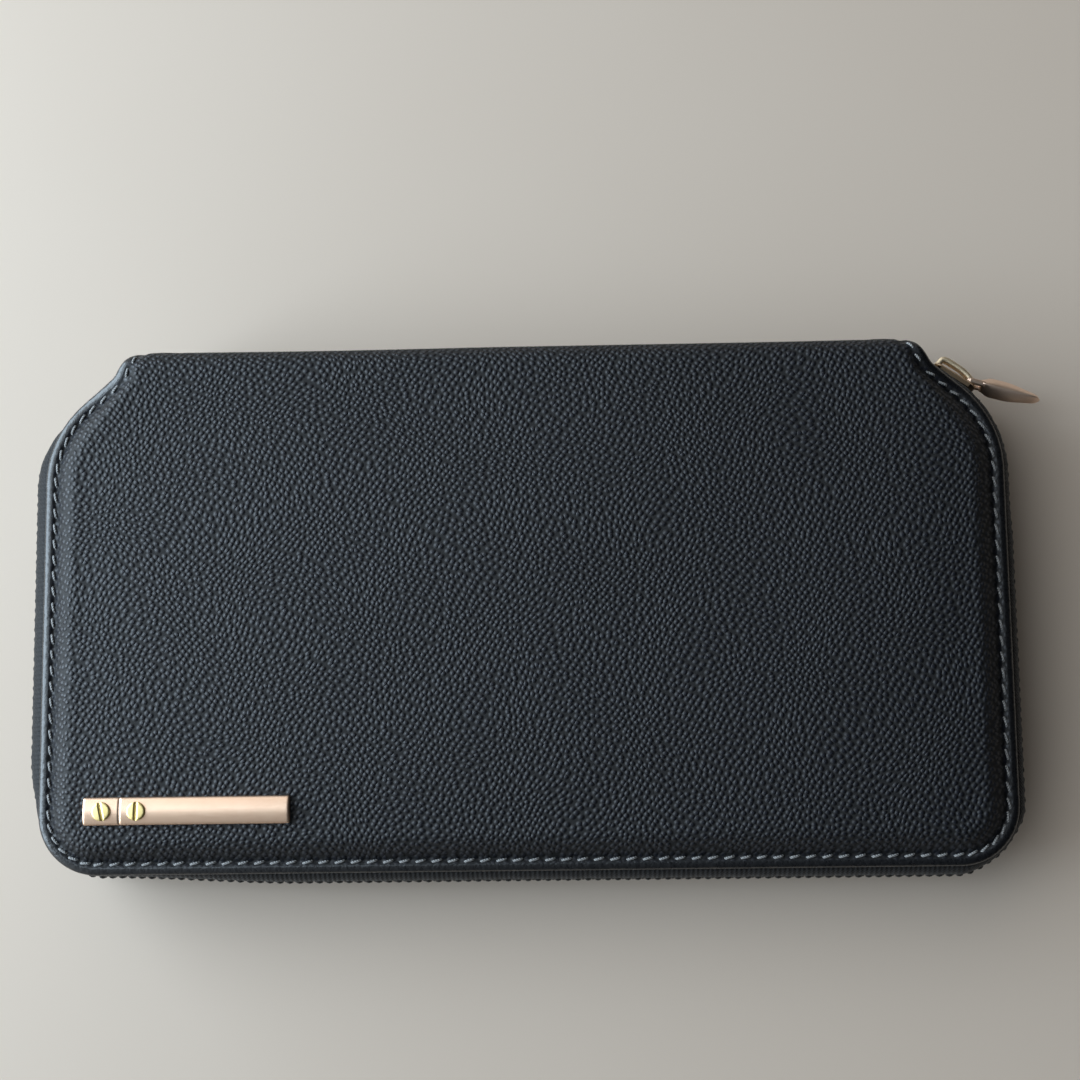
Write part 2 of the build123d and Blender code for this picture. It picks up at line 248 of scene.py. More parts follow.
def edge_path():
    """Edge of the hide laid flat: points, inward normals, their numbers from the middle, spacing."""
    corners = [(0, -HALF_D), (HALF_W, -HALF_D), (HALF_W, SHOULDER_Y), NOTCH,
               (SPINE_HALF, V_ROLL + 1.2), (SPINE_HALF, V_MID)]
    line = rounded_line(corners, (CORNER_R, SHOULDER_R, NOTCH_R, SPINE_TURN_R))
    along = measure(line)
    stitches = round(along[-1] / STITCH_PITCH)
    at = np.linspace(0, along[-1], stitches * PER_STITCH + 1)
    half = np.stack([np.interp(at, along, line[:, k]) for k in range(2)], axis=1)
    left = half[:0:-1] * (-1, 1)
    points = np.concatenate([left, half])
    tangent = np.gradient(points, axis=0)
    tangent /= np.linalg.norm(tangent, axis=1)[:, None]
    tangent[0], tangent[-1] = (0, -1), (0, 1)
    normals = np.stack([-tangent[:, 1], tangent[:, 0]], axis=1)
    count = len(half) - 1
    return points, normals, np.arange(-count, count + 1), at[1]


PATH, NORMALS, SAMPLE, STEP = edge_path()
CENTRE = len(PATH) // 2


def wrap(x, v, depth):
    """Point of the front half's hide: depth is measured inwards from the raised field."""
    x, v, depth = np.broadcast_arrays(x, v, depth)
    angle = np.clip((v - FOLD_Y) / FOLD_R, 0, math.pi / 2)
    radius = FOLD_R - depth
    y = np.where(v <= FOLD_Y, v, FOLD_Y + radius * np.sin(angle))
    z = np.where(v <= FOLD_Y, THICK - depth, THICK - FOLD_R + radius * np.cos(angle))
    z = np.where(v > V_ROLL, THICK - FOLD_R - (v - V_ROLL), z)
    return np.stack([x, y, z], axis=-1)


def band_depth(v):
    """How far the sewn band lies below the field: less where the hide rolls over."""
    return BAND_DEPTH + (BAND_DEPTH_SPINE - BAND_DEPTH) * smoothstep(FOLD_Y - 7, FOLD_Y + 3.5, v)


def rise_width(v):
    """Width of the slope from the band up to the field: narrow where the hide rolls over."""
    return RISE + (RISE_SPINE - RISE) * smoothstep(FOLD_Y - 9, FOLD_Y + 1.0, v)


def waves(x, v):
    """Slight unevenness of the stretched field."""
    values = [noise.noise(Vector((a * 0.022, b * 0.03, 3.7))) for a, b in zip(x.ravel(), v.ravel())]
    return WAVE * np.array(values).reshape(x.shape)


def crown_depth(x, v):
    """How far the field has fallen below its middle towards both sides and the long zip edge."""
    across = np.clip((HALF_W - np.abs(x)) / CROWN_WIDTH, 0, 1)
    along = np.clip((v + HALF_D) / CROWN_WIDTH, 0, 1)
    return CROWN * ((1 - across) ** 2 + (1 - along) ** 2)


def outer_depth(inset, v, phase):
    """Depth of the hide's outer surface at an inset from its edge, drawn in where the thread goes through."""
    rise = np.clip((inset - BAND_FLAT) / rise_width(v), 0, 1)
    depth = band_depth(v) * (1 - np.sin(rise * math.pi / 2))
    hole = 0.5 + 0.5 * np.cos(2 * math.pi * phase)
    pull = 1 - 0.7 * smoothstep(FOLD_Y - 8, FOLD_Y - 1, v)
    depth = depth + pull * (0.22 + 0.2 * hole) * np.exp(-((inset - STITCH_IN - 0.1) / 0.45) ** 2)
    depth = depth + pull * 0.36 * hole * np.exp(-((inset - STITCH_IN - 1.0) / 0.75) ** 2)
    return depth


# ------------ hide

OUTER_INSETS = (10.5, 9.2, 8.2, 7.4, 6.8, 6.2, 5.6, 5.05, 4.55, 4.1, 3.7, 3.35, 3.05, 2.8, 2.55,
                2.3, 2.05, 1.8, EDGE_ROUND)
UNDER_ROUND = 0.9                         # rounding of the turned edge's lower side
EDGE_ANGLES = (14, 28, 42, 56, 70, 82)    # rings round the turned edge
INNER_INSETS = (0.9, 2.4, 4.2)            # rings of the turned-in leather under the band
INNER_RISE = ((0.5, 6.6), (1.0, 9.0), (1.0, 11.0))    # its way up to the field's skin: share, inset
WAVES_IN = (4.5, 10.0)                    # the unevenness grows between these insets
CROWN_IN = (BAND_FLAT, 9.5)               # and the crown between these
CORNER_SEARCH = 120                       # the corner is within this many samples of the middle
DIP_RUN = 10                              # the grid's lines straighten over this length
FIELD_INSET = 12.0                        # inset stored for the field inside the rings


def section_arrays():
    """Rings of the hide: inset, depth, and whether the ring is on the turned edge."""
    edge_v = PATH[:, 1]
    band = band_depth(edge_v)
    half = (BAND_INNER - BAND_DEPTH) / 2
    under = band + 2 * half
    rings = [(d, outer_depth(d, edge_v, SAMPLE / PER_STITCH), False) for d in OUTER_INSETS]
    for degrees in EDGE_ANGLES:
        a = math.radians(degrees)
        rings.append((EDGE_ROUND * (1 - math.sin(a)), band + half * (1 - math.cos(a)), True))
    for degrees in EDGE_ANGLES[::-2]:
        a = math.radians(degrees)
        rings.append((UNDER_ROUND * (1 - math.sin(a)), under - half * (1 - math.cos(a)), True))
    rings += [(d, under, False) for d in INNER_INSETS]
    rings += [(d, under * (1 - share) + SKIN * share, False) for share, d in INNER_RISE]
    inset = np.array([np.full(len(PATH), d) for d, _, _ in rings])
    return inset, np.array([depth for _, depth, _ in rings]), [turned for _, _, turned in rings]


def zip_corner():
    """Sample, counted from the middle of the zip edge, at the middle of the right-hand zip corner."""
    diagonal = np.abs(NORMALS[CENTRE:CENTRE + CORNER_SEARCH, 0] + math.sqrt(0.5))
    return round(int(np.argmin(diagonal)) / PER_STITCH) * PER_STITCH


def field_grid(x, v, first):
    """Grid inside the innermost ring: its new points, numbered from first, flat places, faces and tags."""
    corner = zip_corner()
    rows = SAMPLE[-1] - corner
    columns = np.arange(-corner, corner + 1, PER_STITCH)
    last = len(columns) - 1
    share = x[CENTRE + columns] / x[CENTRE + corner]
    dip = v[CENTRE + columns] - v[CENTRE + corner]
    number, points, rest = {}, [], []
    for r in range(1, rows + 1):
        side = CENTRE + corner + r
        row_x = x[side] * share
        row_v = v[side] + dip * max(0.0, 1 - (v[side] - v[CENTRE + corner]) / DIP_RUN)
        placed = wrap(row_x, row_v, crown_depth(row_x, row_v) - waves(row_x, row_v))
        number[r, 0], number[r, last] = CENTRE - corner - r, side
        for j in range(1, last):
            number[r, j] = first + len(points)
            points.append(placed[j])
            rest.append((row_x[j], row_v[j], 0))
    faces, tags = [], []
    for j in range(last):
        fine = list(range(CENTRE + columns[j], CENTRE + columns[j + 1] + 1))
        faces.append(tuple(fine + [number[1, j + 1], number[1, j]]))
        tags.append(corner)
    for r in range(1, rows):
        for j in range(last):
            faces.append((number[r, j], number[r, j + 1], number[r + 1, j + 1], number[r + 1, j]))
            tags.append(corner + r + 1)
    return np.array(points), np.array(rest), faces, tags


def hide_half():
    """The front half's hide, out to the middle of the spine: points, flat places, insets, faces, tags
    and materials. A face's tag says how many samples it is from the middle of the zip edge."""
    inset, depth, turned = section_arrays()
    rings, count = inset.shape
    flat = PATH[None] + NORMALS[None] * inset[..., None]
    x, v = flat[..., 0], flat[..., 1]
    outer = (np.arange(rings) < len(OUTER_INSETS))[:, None]
    uneven = waves(x, v) * smoothstep(*WAVES_IN, inset) * outer
    depth = depth + outer * crown_depth(x, v) * smoothstep(*CROWN_IN, inset)
    points = wrap(x, v, depth - uneven).reshape(-1, 3)
    rest = np.stack([x, v, np.where(outer, 0, depth - BAND_DEPTH)], axis=-1).reshape(-1, 3)
    faces, tags, mats = [], [], []
    for r in range(rings - 1):
        for i in range(count - 1):
            a, b = r * count + i, (r + 1) * count + i
            faces.append((a, b, b + 1, a + 1))
            tags.append(max(abs(SAMPLE[i]), abs(SAMPLE[i + 1])))
            mats.append(1 if turned[r] or turned[r + 1] else 0)
    more_points, more_rest, more_faces, more_tags = field_grid(x[0], v[0], len(points))
    insets = np.concatenate([inset.reshape(-1), np.full(len(more_points), FIELD_INSET)])
    mats = np.array(mats + [0] * len(more_faces))
    points = np.concatenate([points, more_points])
    rest = np.concatenate([rest, more_rest])
    return points, rest, insets, faces + more_faces, np.array(tags + more_tags), mats


def pick(points, rest, insets, faces, tags, mats, keep):
    """The faces to keep, with only the points that they use."""
    chosen = [f for f, k in zip(faces, keep) if k]
    used = sorted({i for f in chosen for i in f})
    new = {old: i for i, old in enumerate(used)}
    chosen = [tuple(new[i] for i in f) for f in chosen]
    return points[used], rest[used], insets[used], chosen, mats[keep]


def back_rest(rest):
    """Flat-pattern coordinates of the back half, carrying on past the middle of the spine."""
    moved = np.array(rest)
    moved[:, 1] = 2 * V_MID - moved[:, 1]
    return moved


def make_hides(materials):
    """Outer leather of both covers and of the spine."""
    hide = hide_half()
    tags = hide[4]
    split = int(np.argmax(PATH[CENTRE:, 1] >= V_SPLIT))
    points, rest, insets, faces, mats = pick(*hide, tags <= split)
    front = make_mesh("front_hide", points, faces, rest, insets, mats, materials)
    back = make_mesh("back_hide", to_back(points), flipped(faces), back_rest(rest), insets, mats, materials)
    points, rest, insets, faces, mats = pick(*hide, tags > split)
    halves = (points, faces, rest), (to_back(points), flipped(faces), back_rest(rest))
    spine = make_mesh("spine_hide", *join_parts(halves), np.tile(insets, 2), np.tile(mats, 2), materials)
    return front, back, spine


# ------------ stitches

THREAD_R = 0.26
THREAD_LIFT = 0.13                        # middle of a stitch above the leather
STITCH_LENGTH = 2.4
STITCH_SLANT = 13                         # degrees off the edge's direction


def edge_frame(phase):
    """Point of the flat hide's edge at a stitch, direction along the edge, and inward direction."""
    at = CENTRE + phase * PER_STITCH
    numbers = np.arange(len(PATH))
    edge = np.array([np.interp(at, numbers, PATH[:, k]) for k in range(2)])
    n = np.array([np.interp(at, numbers, NORMALS[:, k]) for k in range(2)])
    n /= np.linalg.norm(n)
    return edge, np.array((n[1], -n[0])), n


def stitch(phase, length, slant):
    """One stitch as a bowed bead whose ends go into the leather."""
    edge, t, n = edge_frame(phase)
    here = edge + n * STITCH_IN
    leather = outer_depth(STITCH_IN + 0.2, edge[1], phase)
    around, along = 8, 9
    points, rest = [], []
    c, s = math.cos(slant), math.sin(slant)
    for i in range(along):
        u = 2 * i / (along - 1) - 1
        size = THREAD_R * (1 - 0.25 * u ** 4)
        for k in range(around):
            a = 2 * math.pi * k / around
            side = size * math.cos(a)
            high = size * 0.85 * math.sin(a)
            du = u * length / 2
            flat = here + t * (du * c - side * s) + n * (du * s + side * c)
            points.append(wrap(flat[0], flat[1], leather - (THREAD_LIFT - 0.6 * abs(u) ** 4 + high)))
            rest.append((du, side, high))
    return np.array(points), tube_faces(along, around), np.array(rest)


def make_stitches(material):
    """The stitches of both covers, from one spine corner round to the other."""
    last = int(np.argmax(PATH[CENTRE:, 1] >= V_ROLL - 1.2)) // PER_STITCH
    parts = []
    for k in range(-last, last):
        wobble = noise.noise(Vector((k * 0.71, 0.3, 0.9)))
        slant = math.radians(STITCH_SLANT + 4 * wobble)
        parts.append(stitch(k + 0.5, STITCH_LENGTH + 0.12 * wobble, slant))
    points, faces, rest = join_parts(parts)
    front = make_mesh("front_stitches", points, faces, rest, materials=[material])
    back = make_mesh("back_stitches", to_back(points), flipped(faces), rest, materials=[material])
    return front, back


# ------------ zip

REACH_LEFT, REACH_RIGHT, REACH_LONG = 3.45, 2.5, 2.35    # at the sides and along the long zip edge
REACH_TURN = 1.6                          # round the corners
REACH_SLIDER = 2.2                        # where the slider runs, at the right
SLIDER_RUN = (12, 20)                     # Y over which that reach comes in
TUCK = 0.62                               # share of the reach that is lost at the bottom left corner
TUCK_X, TUCK_Y = (-45, -85), (-30, -46)   # where it is lost
TAPE_TURN = 0.3                           # the tape bulges out from this inset
TOOTH_PROUD = 0.5                         # the teeth stand this far out of the tape
TAPE_RIPPLE = 0.05
TOOTH_DEEP = 1.2                          # from a tooth's middle to its tip
TEETH_STOP = 6.2                          # the teeth end this far short of the spine's face

# The tape's section as inset and z, and a tooth's levels as z, half length along the zip, half depth
TAPE_SECTION = ((4.6, 5.45), (2.6, 5.45), (1.0, 5.45), (0.3, 5.55), (-0.45, 5.95), (-1.1, 6.7),
                (-1.5, 7.6), (-1.68, 8.6), (-1.66, 9.7), (-1.15, 9.75), (-1.12, 8.6), (-0.95, 7.8),
                (-0.55, 7.1), (0.0, 6.4), (0.8, 6.0), (2.6, 5.85), (4.6, 5.85))
TOOTH_LEVELS = ((9.1, 0.50, 0.80), (9.35, 0.66, 1.12), (9.8, 0.72, 1.22), (10.9, 0.72, 1.22),
                (11.35, 0.56, 1.16), (12.15, 0.46, 1.05), (12.5, 0.40, 0.92), (12.66, 0.22, 0.6))
TOOTH_PITCH = 2.0
TOOTH_AROUND = 10                         # mesh points round a tooth


def zip_reach(i):
    """How far the teeth stand out from the hide's edge at a sample of the path."""
    (x, v), (out_x, out_y) = PATH[i], -NORMALS[i]
    free = REACH_LEFT * max(0.0, -out_x) ** 4 + REACH_RIGHT * max(0.0, out_x) ** 4
    free = max(free + REACH_LONG * max(0.0, -out_y) ** 4, REACH_TURN)
    tucked = float(smoothstep(*TUCK_X, x) * smoothstep(*TUCK_Y, v))
    slider_run = float(smoothstep(*SLIDER_RUN, v)) if x > 0 else 0.0
    return REACH_SLIDER * slider_run + free * (1 - TUCK * tucked) * (1 - slider_run)


def zip_range():
    """Samples of the edge path that the zip follows."""
    return [i for i in range(len(PATH)) if PATH[i, 1] <= V_TAPE_END]


def tape_shape():
    """The tape's section carried along the zip's path and stretched to its reach."""
    section, samples = TAPE_SECTION, zip_range()
    points, rest = [], []
    run = measure(np.array(section))
    widest = -min(inset for inset, _ in section)
    for i in samples:
        reach = (zip_reach(i) - TOOTH_PROUD + TAPE_TURN) / (widest + TAPE_TURN)
        for (inset, z), w in zip(section, run):
            free = min(0.0, inset - TAPE_TURN)
            out = float(smoothstep(0, -1.4, free))
            ripple = TAPE_RIPPLE * out * math.sin(2 * math.pi * SAMPLE[i] / PER_STITCH / 1.7)
            place = PATH[i] + NORMALS[i] * (inset - free + free * reach + ripple)
            points.append((place[0], place[1], z))
            rest.append((SAMPLE[i] * STEP, w, 0))
    return np.array(points), tube_faces(len(samples), len(section)), np.array(rest)


def tooth(place, along, out, levels):
    """One moulded tooth, narrower where it meshes with the other row."""
    points = []
    angles = [2 * math.pi * (k + 0.5) / TOOTH_AROUND for k in range(TOOTH_AROUND)]
    ring = [(signed_power(math.cos(a), 0.6), signed_power(math.sin(a), 0.6)) for a in angles]
    for z, half_long, half_deep in levels:
        for c, s in ring:
            p = place + along * c * half_long + out * s * half_deep
            points.append((p[0], p[1], z))
    return np.array(points), tube_faces(len(levels), TOOTH_AROUND)


def zip_teeth(shift):
    """A row of teeth along the zip, moved along by shift."""
    line = np.array([PATH[i] - NORMALS[i] * (zip_reach(i) - TOOTH_DEEP) for i in zip_range()])
    inner = [k for k in range(len(line)) if line[k, 1] <= HALF_D - TEETH_STOP]
    line = line[inner[0]:inner[-1] + 1]
    along = measure(line)
    count = int((along[-1] - 1.5) / TOOTH_PITCH)
    start = (along[-1] - (count - 1) * TOOTH_PITCH) / 2 + shift
    parts = []
    for k in range(count):
        s = start + k * TOOTH_PITCH
        p = np.array([np.interp(s, along, line[:, a]) for a in range(2)])
        q = np.array([np.interp(s + 0.3, along, line[:, a]) for a in range(2)])
        t = (q - p) / max(np.linalg.norm(q - p), 1e-9)
        n = np.array((t[1], -t[0]))
        points, faces = tooth(p, t, n, TOOTH_LEVELS)
        parts.append((points, faces, points + (0, 0, k * 7.3)))
    return join_parts(parts)


def make_zip(tape_material, tooth_material):
    """Both tapes and both rows of teeth, by CAD node."""
    tape = tape_shape()
    rows = (("tape", "lower", tape, tape_material), ("tape", "upper", tape, tape_material),
            ("teeth", "lower", zip_teeth(0.0), tooth_material),
            ("teeth", "upper", zip_teeth(TOOTH_PITCH / 2), tooth_material))
    made = {}
    for kind, level, (points, faces, rest), material in rows:
        points = to_back(points) if level == "upper" else points
        made[f"zip_{kind}_{level}"] = closed_piece(f"{kind}_{level}", (points, faces, rest), material)
    return made


# ------------ metal parts

PLATE_GROOVE = 7.3                        # from the plate's left end
PLATE_SUNK = 0.9                          # its rim goes this far below the CAD plate, into the crowned field
BRIDGE = (4.7, 1.85, 4.8)                 # half length, foot and top, out from the slider's middle
BRIDGE_ROD = (0.62, 1.1)                  # half sizes of the rod
PULL_LENGTH, PULL_HALF_W, PULL_THICK = 15.2, 2.6, 4.1
PULL_WINDOW = (1.45, 3.1)                 # half width and end of the window round the bridge
PULL_HEAD, PULL_BAR_R = 1.2, 0.5          # thickness of the frame round the window, radius of its bar
SCREW_TURNS = (12, -2)                    # degrees that the slots are turned by
SCREW_PROUD = 0.12                        # the heads stand this far above the CAD heads
SCREW_DOME = 0.07
SLOT_HALF = 0.22
HEAD_DEPTH, SHANK_TOP, SHANK_R = 0.62, 0.7, 0.8    # depths are below the top of the CAD heads
TUBE_AROUND = 14                          # mesh points round a bar


def tube(line, ups, half_a, half_b, squareness=0.7):
    """Bar of rounded section along a line. ups gives the section's second direction at each point."""
    line, ups = np.asarray(line, float), np.asarray(ups, float)
    tangent = np.gradient(line, axis=0)
    tangent /= np.linalg.norm(tangent, axis=1)[:, None]
    points = []
    half_a = np.broadcast_to(half_a, len(line))
    half_b = np.broadcast_to(half_b, len(line))
    for p, t, up, ha, hb in zip(line, tangent, ups, half_a, half_b):
        side = np.cross(t, up)
        side /= np.linalg.norm(side)
        for k in range(TUBE_AROUND):
            a = 2 * math.pi * (k + 0.5) / TUBE_AROUND
            c = signed_power(math.cos(a), squareness)
            s = signed_power(math.sin(a), squareness)
            points.append(p + side * c * ha + up * s * hb)
    points = np.array(points)
    return points, tube_faces(len(line), TUBE_AROUND), points


def local_frame(origin, degrees):
    """Function that places local (along, out, z) points turned by degrees about Z."""
    a = math.radians(degrees)
    along = np.array((math.cos(a), math.sin(a), 0))
    out = np.array((-math.sin(a), math.cos(a), 0))
    up = np.array((0, 0, 1.0))
    origin = np.array(origin, float)
    return lambda p: origin + along * p[0] + out * p[1] + up * p[2]


def make_bridge(place, material):
    """Arched bar that the pull hangs from, flaring where it meets the slider."""
    half, foot, top = BRIDGE
    radius, half_z = BRIDGE_ROD
    count = 33
    line = []
    for k in range(count):
        a = math.pi * k / (count - 1)
        c = signed_power(math.cos(a), 0.62)
        s = abs(math.sin(a)) ** 0.75
        line.append(place((-(half - radius) * c - 1.4 * s ** 3, foot + (top - radius - foot) * s, 0)))
    flare = 1 + 0.25 * np.abs(np.linspace(-1, 1, count)) ** 8
    bar = tube(line, [(0, 0, 1.0)] * count, radius * flare, half_z * flare, squareness=0.55)
    return closed_piece("slider_bridge", bar, material)


def pull_blade(place):
    """Ridged blade of the pull, as diamond sections with rounded sides."""
    end = PULL_WINDOW[1]
    stations = np.concatenate([end + np.array((-0.3, 0.3, 1.0)), np.linspace(end + 1.8, PULL_LENGTH, 15)])
    around = 24
    points = []
    for x in stations:
        t = np.clip((x - end) / (PULL_LENGTH - end), 0, 1)
        blunt = math.sqrt(max(0.0, 1 - max(0.0, (t - 0.8) / 0.2) ** 2.6))
        tall = max(0.25, PULL_HALF_W * (1 - 0.14 * t) * blunt)
        deep = (PULL_HEAD + (PULL_THICK - PULL_HEAD) * float(smoothstep(-0.12, 0.13, t))) / 2
        deep = max(0.2, deep * (1 - 0.5 * float(smoothstep(0.35, 1.0, t))) * blunt)
        for k in range(around):
            a = 2 * math.pi * k / around
            c, s = signed_power(math.cos(a), 1.55), signed_power(math.sin(a), 1.55)
            points.append(place((x, deep * c, tall * s)))
    points = np.array(points)
    return points, tube_faces(len(stations), around), points


def make_pull(place, material):
    """Leaf-shaped pull: a frame round the window at the head, a ridged blade and a bar."""
    parts = [pull_blade(place)]
    window_half, window_end = PULL_WINDOW
    arm = (PULL_HALF_W - window_half) / 2
    for side in (-1, 1):
        mid = side * (window_half + arm)
        line = [place((x, 0, mid * (1 - 0.02 * x))) for x in np.linspace(-0.1, window_end + 0.2, 10)]
        parts.append(tube(line, [(0, 0, 1.0)] * len(line), PULL_HEAD / 2, arm))
    reach = PULL_HALF_W * 0.97
    line = [place((0, 0, z)) for z in np.linspace(-reach, reach, 9)]
    ups = [place((0, 1, 0)) - place((0, 0, 0))] * len(line)
    parts.append(tube(line, ups, PULL_BAR_R, PULL_BAR_R, squareness=1.0))
    return closed_piece("pull_leaf", join_parts(parts), material)


def make_plate(material):
    """Shallow-domed plate with rounded corners and one groove."""
    low, high = box_mm("brand_plate")
    cx, cy = (low[0] + high[0]) / 2, (low[1] + high[1]) / 2
    half_l, half_w = (high[0] - low[0]) / 2, (high[1] - low[1]) / 2
    groove = low[0] + PLATE_GROOVE - cx
    end_run = np.array((0, 0.06, 0.18, 0.35, 0.6))
    side_run = np.array((1, 0.985, 0.95, 0.89))
    xs = np.concatenate([
        end_run - half_l, np.linspace(1.2 - half_l, groove - 0.5, 6),
        groove + np.array((-0.18, -0.08, 0, 0.08, 0.18)),
        np.linspace(groove + 0.5, half_l - 1.2, 24), half_l - end_run[::-1],
    ])
    us = np.concatenate([-side_run, np.linspace(-0.8, 0.8, 17), side_run[::-1]])
    corner, bevel, dome = 0.45, 0.42, 0.55
    top, base = high[2], low[2] - PLATE_SUNK
    points = []
    for x in xs:
        end = half_l - abs(x)
        for u in us:
            shrink = corner - math.sqrt(max(0.0, corner ** 2 - max(0.0, corner - end) ** 2))
            y = u * (half_w - shrink)
            side = half_w - shrink - abs(y)
            near = min(side, end)
            drop = bevel - math.sqrt(max(0.0, bevel ** 2 - max(0.0, bevel - near) ** 2))
            drop += dome * (y / half_w) ** 2
            drop += 0.09 if abs(x - groove) < 0.1 else 0.0
            points.append((cx + x, cy + y, top - drop))
    faces = close_down(points, len(xs), len(us), base)
    return closed_piece("plate_domed", (points, faces), material)


def slotted_head(centre, radius, top, base, degrees):
    """Domed screw head with a slot across it."""
    c, s = math.cos(math.radians(degrees)), math.sin(math.radians(degrees))
    side = radius * np.array((0.998, 0.985, 0.95, 0.88, 0.78, 0.64, 0.48, 0.32))
    slot = np.array((SLOT_HALF, SLOT_HALF - 0.03))
    across = 17
    points = []
    for w in np.concatenate([-side, -slot, slot[::-1], side[::-1]]):
        chord = math.sqrt(radius ** 2 - w ** 2)
        for u in np.sin(np.linspace(-math.pi / 2, math.pi / 2, across)) * chord:
            r = math.hypot(u, w) / radius
            drop = SCREW_DOME * r ** 2 + 0.16 * max(0.0, (r - 0.86) / 0.14) ** 2
            if abs(w) < SLOT_HALF:
                drop = SCREW_DOME * 0.5 + 0.3
            points.append((centre[0] + w * c - u * s, centre[1] + w * s + u * c, top - drop))
    faces = close_down(points, 2 * (len(side) + len(slot)), across, base)
    points = np.array(points)
    return points, faces, points


def make_screws(material):
    """Both plate screws, with shanks down through the plate."""
    low, high = box_mm("plate_screws")
    radius = (high[1] - low[1]) / 2
    y = (low[1] + high[1]) / 2
    parts = []
    for x, degrees in zip((low[0] + radius, high[0] - radius), SCREW_TURNS):
        parts.append(slotted_head((x, y), radius, high[2] + SCREW_PROUD, high[2] - HEAD_DEPTH, degrees))
        line = [(x, y, z) for z in np.linspace(high[2] - SHANK_TOP, low[2], 4)]
        parts.append(tube(line, [(0, 1, 0)] * len(line), SHANK_R, SHANK_R, squareness=1.0))
    return closed_piece("plate_screw_pair", join_parts(parts), material)


# ------------ inside

POCKET_IN = 8.8                           # a card pocket's sides lie this far inside the outline
WALL_IN = 7.5                             # and the coin pocket's at the zip corners
LINING_SECTION = ((10.5, 2.5), (9.0, 2.5), (8.3, 2.75), (6.8, 4.05), (5.6, 5.05), (5.0, 5.35),
                  (4.7, 5.3), (4.9, 4.9))
LINING_STOP = 0.6                         # the lining ends this far short of the roll
GUSSET_SHALLOW = 2.5                      # depth of a gusset's fold at the spine
GUSSET_THICK = 0.4
RIM_ROUND = 0.5                           # rounding of a panel's rim
RIM_RUN = np.array((0.0, 0.1, 0.28, 0.6, 1.0))              # mesh lines at a panel's two ends
RIM_SHARE = np.array((0, 0.0012, 0.0035, 0.008, 0.014))     # and at its sides, of its half width
COIN_PITCH = 1.8


def ring_reach(inset, most=math.inf):
    """Half width of the outline at an inset, but no more than most, as a function of y."""
    ring = PATH[CENTRE:] + NORMALS[CENTRE:] * inset
    ring = ring[ring[:, 1] <= FOLD_Y + 1]
    ring = ring[np.argsort(ring[:, 1], kind="stable")]
    return lambda y: min(most, float(np.interp(y, ring[:, 1], ring[:, 0])))


def panel(y0, y1, reach, z, thick, crown=0.0, bead=0.0, seams=(), sewn=0.0):
    """Leather panel facing +Z at height z: rounded rim, optional turned mouth at y0, seams at some x."""
    ys = np.concatenate([y0 + RIM_RUN, np.linspace(y0 + 1.6, y1 - 1.6, 26), y1 - RIM_RUN[::-1]])
    us = np.concatenate([RIM_SHARE - 1, np.linspace(-0.975, 0.975, 72), 1 - RIM_SHARE[::-1]])
    points = []
    for y in ys:
        width = reach(np.clip(y, y0 + 0.3, y1))
        front, behind = y - y0, y1 - y
        arch = crown * math.sin(math.pi * np.clip(front / (y1 - y0), 0, 1)) ** 0.7
        for x in us * width:
            side = width - abs(x)
            near = max(0.0, min(side, front, behind))
            height = -min(thick, RIM_ROUND) * (1 - math.sqrt(1 - (1 - min(near / RIM_ROUND, 1)) ** 2))
            height += arch * (1 - (x / width) ** 4)
            if bead:
                height += bead * math.exp(-((front - 0.55) / 0.45) ** 2)
                height -= bead * 0.8 * math.exp(-((front - 1.6) / 0.3) ** 2)
            for seam in seams:
                height -= 0.3 * math.exp(-((x - seam) / 0.5) ** 2)
            if sewn:
                height -= 0.22 * math.exp(-((side - sewn) / 0.4) ** 2)
            points.append((x, y, z + height))
    upper = len(points)
    faces = close_down(points, len(ys), len(us), z - thick)
    points = np.array(points)
    rest = points * (1, 1, 0)
    rest[upper:, 2] = thick
    return points, faces, rest


def make_panel(name, shape, mirrored, material):
    """Panel facing up, or mirrored to the other half and facing down."""
    points, faces, rest = shape
    points = to_back(points) if mirrored else points
    return closed_piece(name, (points, faces, rest), material)


def make_lining(side, material):
    """Inner lining: flat over the board and turned up to the sewn edge."""
    samples = [i for i in range(len(PATH)) if PATH[i, 1] <= FOLD_Y - 1.0]
    picked = sorted({*samples[::2], samples[-1]})
    points = []
    for inset, z in LINING_SECTION:
        for x, y in PATH[picked] + NORMALS[picked] * inset:
            points.append((x, min(y, FOLD_Y - LINING_STOP), z))
    faces = grid_faces(len(LINING_SECTION), len(picked))
    faces.append(tuple(range(len(picked))))
    points = np.array(points)
    rest = points * (1, 1, 0)
    if side == "front":
        points, faces = to_back(points), flipped(faces)
    return make_mesh(side + "_lining_sheet", points, flipped(faces), rest, materials=[material])


def make_gusset(node, material):
    """Side gusset: a soft V fold, deeper towards the zip."""
    low, high = box_mm(node)
    sign = 1 if high[0] > 0 else -1
    edge = high[0] if sign > 0 else -low[0]
    rows, cols = 30, 17
    points = []
    for t in np.linspace(0, 1, rows):
        y = high[1] + (low[1] - high[1]) * t
        deep = GUSSET_SHALLOW + (high[0] - low[0] - GUSSET_SHALLOW) * t
        for u in np.linspace(-1, 1, cols):
            inward = deep * (1 - math.sqrt(u * u + 0.02) + 0.01) + 0.12 * math.sin(9 * t + 3 * u)
            z = (low[2] + high[2]) / 2 + (high[2] - low[2]) / 2 * u
            points.append((sign * (edge - max(inward, 0)), y, z))
    sheet = make_mesh(node + "_pleat", points, grid_faces(rows, cols), materials=[material])
    solid = sheet.modifiers.new("Thickness", "SOLIDIFY")
    solid.thickness = GUSSET_THICK * MM
    solid.offset = 0
    apply_modifiers(sheet)
    return sheet


